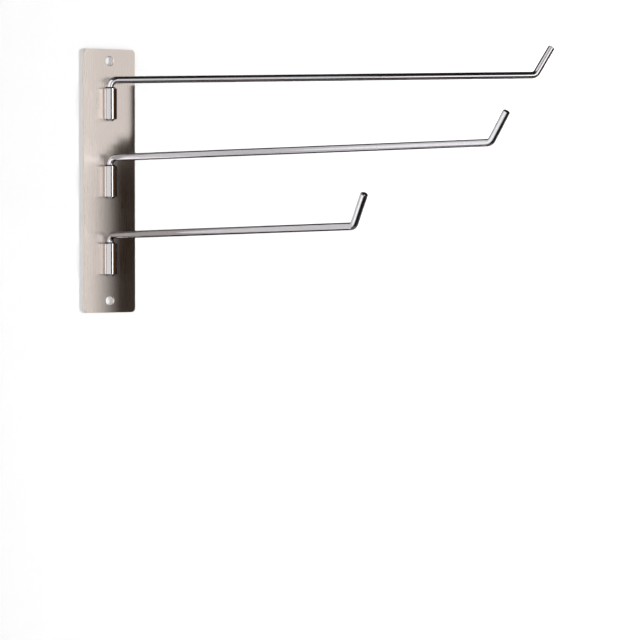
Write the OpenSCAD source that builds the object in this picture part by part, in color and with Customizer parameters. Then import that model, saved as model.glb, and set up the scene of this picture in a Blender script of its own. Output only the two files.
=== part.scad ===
// Wall towel rail with three swivel arms, one above another.
// A flat plate is screwed to the wall. Three tube sleeves are welded to its front, and in each
// a lined bent rod swings about the upright axis of the sleeve.
// Millimetres. The origin is the centre of the plate's back face, which lies on the wall (y = 0).
// +X runs right along the wall, -Y comes out of the wall and +Z is up.

/* [Wall plate] */
// Width of the plate
plate_w = 55; // [40:1:80]
// Height of the plate
plate_h = 245; // [236:1:320]
// Thickness of the sheet
plate_t = 2; // [1.5:0.5:4]
// Radius of the four corners
corner_r = 4; // [1:0.5:7]
// Break along the plate's front edges
edge_break = 0.3; // [0.1:0.1:0.5]

/* [Screw holes] */
// Diameter of each screw hole
hole_d = 8.5; // [4:0.5:9]
// Chamfer round the front of each hole
hole_chamfer = 0.4; // [0.2:0.1:0.6]
// Hole centre to the nearest end of the plate
hole_inset = 11; // [8:0.5:14]

/* [Sleeves] */
// Outer diameter of a sleeve, half-inch tube
sleeve_d = 12.7; // [12:0.1:16]
// Wall of the tube
sleeve_wall = 2.1; // [1.8:0.1:2.3]
// Length of a sleeve
sleeve_l = 29; // [20:0.5:40]
// Chamfer at both rims
rim_chamfer = 0.5; // [0.2:0.1:0.8]
// Distance from one sleeve to the next
sleeve_pitch = 72; // [64:1:76]
// Plate's top edge to the rim of the upper sleeve
sleeve_top = 36.5; // [28:0.5:40]
// How far the sleeves stand left of the plate's middle
sleeve_shift = 3; // [0:0.5:8]

/* [Weld seams] */
// Distance of the seam's root from the line where sleeve and plate touch
weld_root = 1.2; // [1:0.1:1.5]
// Distance of the seam's toe on the plate from that line
weld_toe = 2.8; // [2.4:0.1:3.4]
// How far the seam stops short of each rim
weld_short = 2.5; // [1:0.5:5]

/* [Bushes] */
// Diameter of the collar that shows above the sleeve
collar_d = 9.4; // [9:0.1:11]
// Height of the collar
collar_h = 1; // [0.6:0.1:2]
// Radial clearance between rod and bush
run_gap = 0.05; // [0.02:0.01:0.1]

/* [Arms] */
// Diameter of the rod
rod_d = 6.5; // [5.5:0.1:6.8]
// Centre-line radius of both bends, about one rod diameter
bend_r = 6.5; // [5:0.5:10]
// Free height between the collar and the start of the bend
bend_gap = 0.2; // [0.1:0.05:0.5]
// Bar from the sleeve's axis to the corner of the upturned tip
bar_l = 411; // [200:1:500]
// Rise of the bar above the level, degrees
bar_rise = 1.2; // [0:0.1:3]
// Turn of the tip out of the bar's line, degrees
tip_turn = 57.6; // [30:0.1:88]
// Tip from its corner to its end
tip_l = 31.5; // [20:0.1:40]
// Chamfer at both ends of the rod
end_chamfer = 0.7; // [0.3:0.1:0.9]

/* [Retaining clips] */
// Outer diameter of a clip
clip_d = 8.2; // [7.8:0.1:8.4]
// Thickness of a clip
clip_t = 0.6; // [0.4:0.1:1]
// Free height between a bush and the clip below it
clip_gap = 0.15; // [0.1:0.05:0.3]
// Depth of the groove in the rod
groove_depth = 0.6; // [0.4:0.1:1]
// Rod below the clip
rod_tail = 0.9; // [0.9:0.1:2]

/* [Photographed swing] */
// Angle of the upper arm from the wall's right-hand side, degrees
swing_upper = 20.8; // [0:0.1:180]
// Angle of the middle arm
swing_middle = 67.4; // [0:0.1:180]
// Angle of the lower arm
swing_lower = 90.9; // [0:0.1:180]

/* [Hidden] */
$fn = 64;
eps = 0.01;

// Sleeves
sleeve_r = sleeve_d / 2;
bore_d = sleeve_d - 2 * sleeve_wall;
axis_x = -sleeve_shift;
axis_y = -plate_t - sleeve_r;
top_z = plate_h / 2 - sleeve_top - sleeve_l;
function sleeve_z(i) = top_z - i * sleeve_pitch;

// The rod in its bush, with z = 0 at the sleeve's lower rim
bush_bore = rod_d + 2 * run_gap;
bend_z = sleeve_l + collar_h + bend_gap;
root_turn = 90 - bar_rise;
root_cut = bend_r * tan(root_turn / 2);
tip_cut = bend_r * tan(tip_turn / 2);
bar_z = bend_z + root_cut;
groove_z = -clip_gap - clip_t;
groove_d = rod_d - 2 * groove_depth;
tail_z = groove_z - rod_tail;
// Straight runs reach a little into the bends, which swell by less than a hair
lap = 0.03 * rod_d;
bend_swell = 0.003 * rod_d;

// Top of the seam's face on the sleeve, measured from the line of contact
weld_top = weld_toe + 0.2;
weld_rise = sleeve_r - sqrt(pow(sleeve_r, 2) - pow(weld_top, 2));

steel = [0.80, 0.79, 0.77];
bright = [0.86, 0.86, 0.88];
black = [0.09, 0.09, 0.10];
spring = [0.24, 0.24, 0.26];
seam = [0.62, 0.61, 0.60];

// Stands its children on the axis of sleeve i, with z = 0 at the lower rim
module at_sleeve(i) {
    translate([axis_x, axis_y, sleeve_z(i)]) children();
}

// Turns an arm's plane from the wall's right-hand side out of the wall
module swung(angle) {
    rotate([0, 0, -angle]) children();
}

// Rounded rectangle of the plate, grown or shrunk by d, standing on y = 0 and coming forward
module plate_slab(thick, d = 0) {
    w = plate_w + 2 * d;
    h = plate_h + 2 * d;
    r = corner_r + d;
    rotate([90, 0, 0]) {
        translate([-w / 2 + r, -h / 2, 0]) cube([w - 2 * r, h, thick]);
        translate([-w / 2, -h / 2 + r, 0]) cube([w, h - 2 * r, thick]);
        for (x = [-1, 1], y = [-1, 1])
            translate([x * (w / 2 - r), y * (h / 2 - r), 0]) cylinder(r = r, h = thick);
    }
}

// Screw hole through the plate with its front chamfer
module screw_hole() {
    rotate([90, 0, 0]) {
        translate([0, 0, -1]) cylinder(d = hole_d, h = plate_t + 2);
        translate([0, 0, plate_t - hole_chamfer])
            cylinder(d1 = hole_d, d2 = hole_d + 2 * hole_chamfer + 2 * eps, h = hole_chamfer + eps);
    }
}

module wall_plate() {
    color(steel) difference() {
        union() {
            plate_slab(plate_t - edge_break);
            translate([0, -(plate_t - edge_break), 0]) plate_slab(edge_break, -edge_break);
        }
        for (s = [-1, 1])
            translate([0, 0, s * (plate_h / 2 - hole_inset)]) screw_hole();
    }
}

// Tube with both rims chamfered outside
module sleeve() {
    color(bright) rotate_extrude() polygon([
        [bore_d / 2, 0],
        [sleeve_r - rim_chamfer, 0],
        [sleeve_r, rim_chamfer],
        [sleeve_r, sleeve_l - rim_chamfer],
        [sleeve_r - rim_chamfer, sleeve_l],
        [bore_d / 2, sleeve_l]]);
}

// Seam in the wedge between sleeve and plate, side -1 on the left and 1 on the right
module weld(side) {
    color(seam) difference() {
        translate([0, 0, weld_short]) linear_extrude(sleeve_l - 2 * weld_short) polygon([
            [side * weld_root, sleeve_r],
            [side * weld_toe, sleeve_r],
            [side * weld_top, sleeve_r - weld_rise],
            [side * weld_root, sleeve_r - weld_rise]]);
        cylinder(r = sleeve_r, h = sleeve_l, $fn = 240);
    }
}

// Plastic liner with the collar that the arm turns on
module bush() {
    color(black) rotate_extrude() polygon([
        [bush_bore / 2, 0],
        [bore_d / 2, 0],
        [bore_d / 2, sleeve_l],
        [collar_d / 2, sleeve_l],
        [collar_d / 2, sleeve_l + collar_h * 0.7],
        [collar_d / 2 - collar_h * 0.3, sleeve_l + collar_h],
        [bush_bore / 2, sleeve_l + collar_h]]);
}

// Bend of the rod: starts on +X heading along +Y and turns left by the angle
module rod_bend(angle) {
    rotate_extrude(angle = angle) translate([bend_r, 0]) circle(d = rod_d + 2 * bend_swell);
}

// Upright shank with its clip groove and chamfered lower end
module shank() {
    r = rod_d / 2;
    rotate_extrude() polygon([
        [0, tail_z],
        [r - end_chamfer, tail_z],
        [r, tail_z + end_chamfer],
        [r, groove_z],
        [groove_d / 2, groove_z],
        [groove_d / 2, groove_z + clip_t],
        [r, groove_z + clip_t],
        [r, bend_z + lap],
        [0, bend_z + lap]]);
}

// Upturned tip from the origin along +Z with its end chamfered
module tip(l) {
    r = rod_d / 2;
    rotate_extrude() polygon([
        [0, -lap],
        [r, -lap],
        [r, l - end_chamfer],
        [r - end_chamfer, l],
        [0, l]]);
}

// Arm in the XZ plane: shank, bend, bar, bend and upturned tip in one rod
module arm() {
    color(bright) {
        shank();
        translate([bend_r, 0, bend_z]) rotate([90, 0, 180]) rod_bend(root_turn);
        translate([0, 0, bar_z]) rotate([0, 90 - bar_rise, 0])
            translate([0, 0, root_cut - lap])
                cylinder(d = rod_d, h = bar_l - root_cut - tip_cut + 2 * lap);
        translate([0, 0, bar_z]) rotate([0, -bar_rise, 0]) translate([bar_l - tip_cut, 0, bend_r])
            rotate([0, 90, 0]) rotate([90, 0, 0]) rod_bend(tip_turn);
        translate([0, 0, bar_z]) rotate([0, -bar_rise, 0]) translate([bar_l, 0, 0])
            rotate([0, 90 - tip_turn, 0]) translate([0, 0, tip_cut]) tip(tip_l - tip_cut);
    }
}

// Open spring clip in the groove of the rod, its mouth facing away from the bar
module clip() {
    color(spring) translate([0, 0, groove_z]) difference() {
        cylinder(d = clip_d, h = clip_t);
        translate([0, 0, -1]) cylinder(d = groove_d, h = clip_t + 2);
        translate([-clip_d, -groove_d * 0.42, -1]) cube([clip_d, groove_d * 0.84, clip_t + 2]);
    }
}

wall_plate();
at_sleeve(0) sleeve();  // sleeve_upper
at_sleeve(1) sleeve();  // sleeve_middle
at_sleeve(2) sleeve();  // sleeve_lower
at_sleeve(0) weld(-1);  // weld_upper_left
at_sleeve(0) weld(1);  // weld_upper_right
at_sleeve(1) weld(-1);  // weld_middle_left
at_sleeve(1) weld(1);  // weld_middle_right
at_sleeve(2) weld(-1);  // weld_lower_left
at_sleeve(2) weld(1);  // weld_lower_right
at_sleeve(0) bush();  // bush_upper
at_sleeve(1) bush();  // bush_middle
at_sleeve(2) bush();  // bush_lower
at_sleeve(0) swung(swing_upper) arm();  // arm_upper
at_sleeve(1) swung(swing_middle) arm();  // arm_middle
at_sleeve(2) swung(swing_lower) arm();  // arm_lower
at_sleeve(0) swung(swing_upper) clip();  // clip_upper
at_sleeve(1) swung(swing_middle) clip();  // clip_middle
at_sleeve(2) swung(swing_lower) clip();  // clip_lower
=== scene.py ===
import math

import bmesh
import bpy
from mathutils import Matrix, Vector

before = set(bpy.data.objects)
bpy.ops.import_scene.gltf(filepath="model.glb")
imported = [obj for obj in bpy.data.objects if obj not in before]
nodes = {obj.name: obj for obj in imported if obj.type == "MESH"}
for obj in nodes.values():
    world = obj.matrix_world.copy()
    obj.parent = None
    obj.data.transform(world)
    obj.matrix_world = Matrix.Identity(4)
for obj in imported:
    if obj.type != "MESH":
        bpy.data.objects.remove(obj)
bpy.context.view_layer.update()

# Looks of the wall rail with three swivel arms. The wall is the plane y = 0, the rail stands out
# of it towards -Y, and Z is up. Lengths are in metres, unless a name or a comment says mm.

MM = 0.001
LEVELS = ("upper", "middle", "lower")
PLATE = ["wall_plate"]
scene = bpy.context.scene
arms = [f"arm_{level}" for level in LEVELS]
tubes = [name for name in nodes if name.startswith(("sleeve", "weld"))]


# Helpers

def srgb(code):
    """Linear RGBA of an sRGB hex colour such as "c8c0b6"."""
    parts = [int(code[i:i + 2], 16) / 255 for i in (0, 2, 4)]
    return [c / 12.92 if c <= 0.04045 else ((c + 0.055) / 1.055) ** 2.4 for c in parts] + [1.0]


def add(tree, kind, inputs=None, **settings):
    """One node with its settings, and its inputs given values or linked to other nodes' outputs."""
    made = tree.nodes.new(kind)
    for name, value in settings.items():
        setattr(made, name, value)
    for key, value in (inputs or {}).items():
        if isinstance(value, bpy.types.NodeSocket):
            tree.links.new(value, made.inputs[key])
        else:
            made.inputs[key].default_value = value
    return made


def start(name):
    """An empty node material, its tree and the tree's output node."""
    material = bpy.data.materials.new(name)
    material.use_nodes = True
    material.node_tree.nodes.clear()
    return material, material.node_tree, add(material.node_tree, "ShaderNodeOutputMaterial")


def dress(material, *names):
    """Gives CAD nodes their finished material."""
    for name in names:
        mesh = nodes[name].data
        mesh.materials.clear()
        mesh.materials.append(material)


def group(name, pieces):
    """A set of CAD nodes that a lamp lights, or that shade it."""
    made = bpy.data.collections.new(name)
    for piece in pieces:
        made.objects.link(nodes[piece])
    return made


# Patterns and finishes

NOISE_LOW, NOISE_HIGH = 0.3, 0.7    # nearly all of a noise lies between these values


def streaks(tree, across, along):
    """Noise drawn out along Z: one streak is so many millimetres across and along."""
    place = add(tree, "ShaderNodeTexCoord")
    stretch = add(tree, "ShaderNodeMapping", {
        "Vector": place.outputs["Object"],
        "Scale": (1 / (across * MM), 1 / (across * MM), 1 / (along * MM))})
    return add(tree, "ShaderNodeTexNoise", {
        "Vector": stretch.outputs["Vector"], "Scale": 1.0, "Detail": 3.0, "Roughness": 0.6})


def mottle(tree, grain, detail):
    """Even noise whose spots are so many millimetres wide."""
    place = add(tree, "ShaderNodeTexCoord")
    return add(tree, "ShaderNodeTexNoise", {
        "Vector": place.outputs["Object"], "Scale": 1 / (grain * MM), "Detail": detail})


def finish(name, pattern_of, darker, lighter, smoothest, roughest, relief=None, **constants):
    """A surface that wavers, with its pattern, between two tones and two roughnesses.

    pattern_of makes the pattern in the new tree. relief is the strength of a bump from it, and its
    height in mm. constants are values of the shader's own sockets.
    """
    material, tree, out = start(name)
    pattern = pattern_of(tree)
    wave = add(tree, "ShaderNodeMapRange", {
        "Value": pattern.outputs["Fac"], "From Min": NOISE_LOW, "From Max": NOISE_HIGH})
    tone = add(tree, "ShaderNodeMix", {
        0: wave.outputs["Result"], 6: srgb(darker), 7: srgb(lighter)}, data_type="RGBA")
    rough = add(tree, "ShaderNodeMapRange", {
        "Value": pattern.outputs["Fac"], "From Min": NOISE_LOW, "From Max": NOISE_HIGH,
        "To Min": smoothest, "To Max": roughest})
    surface = add(tree, "ShaderNodeBsdfPrincipled", {
        "Base Color": tone.outputs[2], "Roughness": rough.outputs["Result"], **constants})
    if relief:
        strength, height = relief
        bump = add(tree, "ShaderNodeBump", {
            "Height": pattern.outputs["Fac"], "Strength": strength, "Distance": height * MM})
        tree.links.new(bump.outputs["Normal"], surface.inputs["Normal"])
    tree.links.new(surface.outputs["BSDF"], out.inputs["Surface"])
    return material, tree, surface


# Materials of the rail

def satin_sheet():
    """Stainless sheet, belt-ground up and down: a warm, soft grey that smears reflections sideways.

    The real scratches are about 0.1 mm wide. They are drawn 0.5 mm wide, or they would not show.
    """
    material, tree, metal = finish(
        "satin_stainless_sheet", lambda tree: streaks(tree, 0.5, 60),
        "d5cbc4", "dcd3cc", 0.26, 0.32, relief=(0.25, 0.01), Metallic=1.0, Anisotropic=0.75)
    grain = add(tree, "ShaderNodeTangent", direction_type="RADIAL", axis="Z")
    tree.links.new(grain.outputs["Tangent"], metal.inputs["Tangent"])
    return material


def polished_tube():
    """Drawn stainless tube, polished: crisp bands of reflection with faint lines along the tube.

    The real lines are much finer. They are drawn 0.6 mm wide, or they would not show.
    """
    return finish("polished_stainless_tube", lambda tree: streaks(tree, 0.6, 25),
                  "d0cdcd", "d7d4d4", 0.06, 0.10, Metallic=1.0)[0]


def bright_rod():
    """Bright drawn stainless rod, lightly buffed: cool grey, with clear reflections that waver."""
    return finish("bright_stainless_rod", lambda tree: mottle(tree, 2, 4.0),
                  "c4c1c5", "cbc8cc", 0.08, 0.12, relief=(0.1, 0.01), Metallic=1.0)[0]


def black_acetal():
    """Moulded acetal of the bushes: black and matt, with the fine sparkle of a moulded skin."""
    return finish("black_acetal", lambda tree: mottle(tree, 0.3, 2.0),
                  "151515", "1e1d1d", 0.50, 0.60, relief=(0.3, 0.02), IOR=1.48)[0]


def spring_steel():
    """Blackened spring steel of the clips: nearly black, with a dull oiled sheen."""
    return finish("blackened_spring_steel", lambda tree: mottle(tree, 0.8, 3.0),
                  "2c2a2b", "3a3737", 0.32, 0.45, Metallic=1.0)[0]


def weld_metal():
    """Weld metal, brushed, browner and darker than the sheet: a dull brown line beside each sleeve.
    """
    return finish("tinted_weld_metal", lambda tree: mottle(tree, 3, 2.0),
                  "7d7068", "94867a", 0.30, 0.44, Metallic=1.0)[0]


dress(satin_sheet(), *PLATE)
dress(polished_tube(), *[f"sleeve_{level}" for level in LEVELS])
dress(bright_rod(), *arms)
dress(black_acetal(), *[f"bush_{level}" for level in LEVELS])
dress(spring_steel(), *[f"clip_{level}" for level in LEVELS])
dress(weld_metal(), *[f"weld_{level}_{side}" for level in LEVELS for side in ("left", "right")])


# Camera: a little below the plate's middle, to its left, tipped down a little

YAW = math.radians(33.70)
TIP_DOWN = math.radians(1.625)
camera = bpy.data.objects.new("camera", bpy.data.cameras.new("camera"))
scene.collection.objects.link(camera)
camera.location = (-1.5951, -2.7468, -0.0396)
camera.rotation_euler = (math.pi / 2 - TIP_DOWN, 0.0, -YAW)
camera.data.sensor_width = 36.0
camera.data.lens = 191.25
camera.data.clip_end = 100.0
scene.camera = camera


# Stage: wall and floor

def sheet_object(name, width, height, place, material):
    """A flat rectangle, put up by place, a matrix that takes it from the XY plane."""
    mesh = bpy.data.meshes.new(name)
    shape = bmesh.new()
    bmesh.ops.create_grid(shape, x_segments=1, y_segments=1, size=0.5)
    bmesh.ops.scale(shape, vec=(width, height, 1.0), verts=shape.verts)
    bmesh.ops.transform(shape, matrix=place, verts=shape.verts)
    shape.to_mesh(mesh)
    shape.free()
    mesh.materials.append(material)
    made = bpy.data.objects.new(name, mesh)
    scene.collection.objects.link(made)
    return made


def stage_white(name, lift, see_through_back):
    """Matt white paint. A little of its own light lifts it to white for the camera and in metal.

    With see_through_back it is clear from behind, and also to rays under 2 mm long: the plate's
    back lies right in front of it.
    """
    material, tree, out = start(name)
    path = add(tree, "ShaderNodeLightPath")
    paint = add(tree, "ShaderNodeBsdfDiffuse", {"Color": srgb("ececec")})
    shown = add(tree, "ShaderNodeMath", {
        0: path.outputs["Is Camera Ray"], 1: path.outputs["Is Glossy Ray"]}, operation="ADD")
    seen = add(tree, "ShaderNodeMath", {
        0: shown.outputs["Value"], 1: lift}, operation="MULTIPLY")
    own = add(tree, "ShaderNodeEmission", {"Strength": seen.outputs["Value"]})
    lit = add(tree, "ShaderNodeAddShader", {0: paint.outputs["BSDF"], 1: own.outputs["Emission"]})
    surface = lit.outputs["Shader"]
    if see_through_back:
        side = add(tree, "ShaderNodeNewGeometry")
        near = add(tree, "ShaderNodeMath", {
            0: path.outputs["Ray Length"], 1: 2 * MM}, operation="LESS_THAN")
        gone = add(tree, "ShaderNodeMath", {
            0: side.outputs["Backfacing"], 1: near.outputs["Value"]}, operation="MAXIMUM")
        clear = add(tree, "ShaderNodeBsdfTransparent")
        mixed = add(tree, "ShaderNodeMixShader", {
            0: gone.outputs["Value"], 1: surface, 2: clear.outputs["BSDF"]})
        surface = mixed.outputs["Shader"]
    tree.links.new(surface, out.inputs["Surface"])
    return material


UPRIGHT = Matrix.Rotation(math.pi / 2, 4, "X")    # a sheet then faces -Y, out of the wall
WALL_Y = 0.4 * MM                                 # just behind the plate's back
FLOOR_Z = -0.62
WALL_HEIGHT = 4.0
sheet_object("stage_wall", 8.0, WALL_HEIGHT,
             Matrix.Translation((0.0, WALL_Y, FLOOR_Z + WALL_HEIGHT / 2)) @ UPRIGHT,
             stage_white("wall_paint", 0.12, True))
sheet_object("stage_floor", 8.0, 8.0, Matrix.Translation((0.0, -3.9, FLOOR_Z)),
             stage_white("floor_paint", 0.6, False))


# Stage: cards that only reflections see. They make the dark and pale bands of sleeves and rods

CARD_FLOOR_Z = FLOOR_Z + 0.01
CARD_WALL_Y = -1 * MM


def glow(name, code):
    """An even, unlit colour for a card."""
    material, tree, out = start(name)
    light = add(tree, "ShaderNodeEmission", {"Color": srgb(code), "Strength": 1.0})
    tree.links.new(light.outputs["Emission"], out.inputs["Surface"])
    material.cycles.emission_sampling = "NONE"
    return material


def beside(turn, distance):
    """Place of an upright card that faces the plate: turn is in degrees from straight ahead,
    and to the right it is positive."""
    a = math.radians(turn)
    spot = Vector((math.sin(a) * distance, -math.cos(a) * distance, 0.0))
    return (Matrix.Translation(spot) @ Matrix.Rotation(a, 4, "Z")
            @ Matrix.Rotation(-math.pi / 2, 4, "X"))


def lying(x, y):
    """Place of a card that lies on the floor."""
    return Matrix.Translation((x, y, CARD_FLOOR_Z))


def standing(x, y, z):
    """Place of an upright card that faces out of the wall."""
    return Matrix.Translation((x, y, z)) @ UPRIGHT


def wide(degrees, distance):
    """Width of a card that spans so many degrees at that distance."""
    return 2 * distance * math.tan(math.radians(degrees) / 2)


felt = glow("card_black", "2a2626")
brown = glow("card_brown", "2a1c0e")
grey = glow("card_grey", "746e6c")
pale = glow("card_pale", "c4beba")
for card in (
        sheet_object("card_right", wide(44, 1.7), 2.4, beside(38, 1.7), brown),
        sheet_object("card_side", wide(34, 1.6), 2.4, beside(76, 1.6), felt),
        sheet_object("card_front", wide(39, 1.8), 3.0, beside(-3, 1.8), felt),
        sheet_object("card_ceiling", 2.4, 1.9, Matrix.Translation((0.2, -0.96, 1.35)), felt),
        sheet_object("card_floor", 2.25, 1.76, lying(0.675, -1.43), felt),
        sheet_object("card_floor_back", 2.25, 0.54, lying(0.675, -0.28), grey),
        sheet_object("card_high", 0.3, 0.5, standing(-0.42, -1.15, 0.56), felt),
        sheet_object("card_wall", 1.227, 1.85, standing(0.5865, CARD_WALL_Y, 0.375), felt),
        sheet_object("card_wall_left", 0.055, 1.1, standing(-0.0575, CARD_WALL_Y, 0.0), pale)):
    card.visible_camera = False
    card.visible_diffuse = False
    card.visible_shadow = False
    card.visible_transmission = False
    card.visible_volume_scatter = False


# Lamps

def area_lamp(name, spot, aim, width, height, watts):
    """Lamp at spot that shines towards aim. Camera and metal don't see it."""
    data = bpy.data.lights.new(name, "AREA")
    data.shape = "RECTANGLE"
    data.size = width
    data.size_y = height
    data.energy = watts
    lamp = bpy.data.objects.new(name, data)
    lamp.location = spot
    lamp.rotation_euler = (Vector(spot) - Vector(aim)).to_track_quat("Z", "Y").to_euler()
    lamp.visible_camera = False
    lamp.visible_glossy = False
    scene.collection.objects.link(lamp)
    return lamp


def reflector(name, spot, aim, width, height, radiance, lit, code="ffffff", spread=180):
    """Evenly bright rectangle that only the reflections of the named pieces see."""
    watts = radiance * width * height * 4    # what gives an area lamp that radiance in Cycles
    lamp = area_lamp(name, spot, aim, width, height, watts)
    lamp.data.color = srgb(code)[:3]
    lamp.data.spread = math.radians(spread)
    lamp.visible_glossy = True
    lamp.visible_diffuse = False
    lamp.light_linking.receiver_collection = group(name + "_pieces", lit)
    return lamp


key = area_lamp("key_right", spot=(2.08, -1.2, 0.0), aim=(0, 0, 0),
                width=0.35, height=0.35, watts=54)
key.light_linking.blocker_collection = group(
    "bracket_pieces", [name for name in nodes if not name.startswith(("arm", "clip"))])
area_lamp("fill_left", spot=(-1.6, -2.3, 0.4), aim=(0, 0, 0), width=1.6, height=1.6, watts=4)


# The field: what the camera sees mirrored in the plate. It stands close before the plate, square
# to the mirrored view, and it is cut in parts. A part is given by its mirror image on the plate:
# from left to right in X, and from bottom to top in Z. Lengths are in mm here.

MIRRORED = Vector((math.sin(YAW), -math.cos(YAW), 0.0))    # the mirrored view, away from the plate
ALONG = Vector((math.cos(YAW), math.sin(YAW), 0.0))        # across that view, to the right
FACED_X, PLATE_FRONT_Y = -5, -2                            # the place on the plate that it faces
FRONT_OFF, REAR_OFF = 25, 26                               # how far its two lamps are from there
FIELD_RADIANCE = 0.17
FIELD_BOTTOM, FIELD_TOP = -160, 250
LEFT_END, LEFT_SHARE = -70, 0.79
EDGE_FROM, EDGE_TO, EDGE_SHARE = -60, -22, 0.3             # some more light beside the left edge

# Below, the field fades out from left to right in steps. The fade begins higher further right
FADE_FROM, FADE_TO, FADE_STEPS = -23.0, 7.0, 5
FADE_TOP_LEAST, FADE_TOP_AT_0, FADE_TOP_RISE = 26.0, 33.5, 0.9
FADE_BEND = 1.15

# Right of the fade it is dark below. Some short steps lead up to the bright parts above
TURN_BOTTOM, TURN_STEP, TURN_SHARES = 31, 3.2, (0.08, 0.16, 0.42, 0.8, 0.95)
TURN_RIGHT, TURN_WIDENS = 20, 0.5
RIGHT_BOTTOM, RIGHT_TOP, RIGHT_END = 47, 90, 22.5
TOP_END = 32

every_piece = group("every_piece", nodes)
plate_alone = group("plate_alone", PLATE)


def field(name, left, right, bottom, top, share):
    """One part of the field, and its share of the full brightness.

    It is two lamps, one close behind the other. Arms and sleeves shade one of them and not the
    other, so that their mirror images in the plate stay faint.
    """
    for half, off, shading in (("front", FRONT_OFF, every_piece), ("rear", REAR_OFF, plate_alone)):
        spot = MM * (Vector((FACED_X, PLATE_FRONT_Y, (bottom + top) / 2)) + off * MIRRORED
                     + ((left + right) / 2 - FACED_X) * math.cos(YAW) * ALONG)
        lamp = reflector(f"{name}_{half}", spot=spot, aim=spot - MIRRORED,
                         width=MM * (right - left) * math.cos(YAW), height=MM * (top - bottom),
                         radiance=FIELD_RADIANCE * share / 2, lit=PLATE, spread=80)
        lamp.light_linking.blocker_collection = shading


field("field_left", LEFT_END, FADE_FROM, FIELD_BOTTOM, FIELD_TOP, LEFT_SHARE)
field("field_edge", EDGE_FROM, EDGE_TO, FIELD_BOTTOM, FIELD_TOP, EDGE_SHARE)
fade_step = (FADE_TO - FADE_FROM) / FADE_STEPS
for index in range(FADE_STEPS):
    left = FADE_FROM + index * fade_step
    right = left + fade_step
    fade_top = max(FADE_TOP_LEAST, FADE_TOP_AT_0 + FADE_TOP_RISE * left)
    low_share = 1 - ((index + 0.5) / FADE_STEPS) ** FADE_BEND
    field(f"field_low_{index}", left, right, FIELD_BOTTOM, fade_top, low_share)
    field(f"field_high_{index}", left, right, fade_top, FIELD_TOP, 1.0)
field("field_right", FADE_TO, RIGHT_END, RIGHT_BOTTOM, RIGHT_TOP, 1.0)
for index, share in enumerate(TURN_SHARES):
    bottom = TURN_BOTTOM + TURN_STEP * index
    field(f"field_turn_{index}", FADE_TO, TURN_RIGHT + TURN_WIDENS * index,
          bottom, bottom + TURN_STEP, share)
field("field_top", FADE_TO, TOP_END, RIGHT_TOP, FIELD_TOP, 1.0)


# The other bright shapes in the metal: beside the plate, on the sleeves, and along the rods

reflector("glow_side", spot=(-0.045, -0.012, 0.045), aim=(0, -0.012, 0.045),
          width=0.022, height=0.41, radiance=1.2, lit=PLATE)
reflector("band_low", spot=(-0.0014, -0.04, -0.062), aim=(-0.0014, 0, -0.062),
          width=0.005, height=0.196, radiance=5.0, lit=tubes)
reflector("band_high", spot=(0.0014, -0.04, 0.143), aim=(0.0014, 0, 0.143),
          width=0.009, height=0.214, radiance=4.0, lit=tubes)
reflector("glow_right", spot=(0.85, -0.9, 0.0), aim=(0, 0, 0),
          width=0.9, height=1.0, radiance=0.05, lit=tubes, code="f0b070")
reflector("softbox_plate", spot=(-0.9, -0.4, 0.0), aim=(0, -0.4, 0),
          width=0.8, height=0.8, radiance=0.6, lit=PLATE)
reflector("softbox_arms", spot=(-0.15, -1.2, 0.05), aim=(-0.15, 0, 0.05),
          width=0.5, height=1.3, radiance=0.78, lit=arms)
reflector("strip_front", spot=(0.45, -1.3, -0.1), aim=(0.45, 0, -0.1),
          width=0.7, height=0.7, radiance=1.55, lit=arms)
reflector("softbox_left", spot=(-0.9, -0.4, 0.175), aim=(0, -0.4, 0.175),
          width=0.8, height=1.95, radiance=0.6, lit=arms)
reflector("glow_middle", spot=(-0.055, -0.004, -0.08), aim=(-0.055, -1, -0.08),
          width=0.07, height=0.14, radiance=0.8, lit=["arm_middle"])


# World: white for the camera and in metal, and a soft light on everything else

ROOM_LIGHT = 0.45
world = bpy.data.worlds.new("studio")
scene.world = world
world.use_nodes = True
world.node_tree.nodes.clear()
tree = world.node_tree
path = add(tree, "ShaderNodeLightPath")
level = add(tree, "ShaderNodeMapRange", {
    "Value": path.outputs["Is Glossy Ray"], "To Min": ROOM_LIGHT, "To Max": 1.0})
room = add(tree, "ShaderNodeBackground", {
    "Color": srgb("ffffff"), "Strength": level.outputs["Result"]})
seen = add(tree, "ShaderNodeBackground", {"Color": srgb("ffffff"), "Strength": 1.0})
both = add(tree, "ShaderNodeMixShader", {
    0: path.outputs["Is Camera Ray"],
    1: room.outputs["Background"],
    2: seen.outputs["Background"]})
add(tree, "ShaderNodeOutputWorld", {"Surface": both.outputs["Shader"]})
world.cycles.sampling_method = "NONE"

scene.view_settings.view_transform = "Standard"
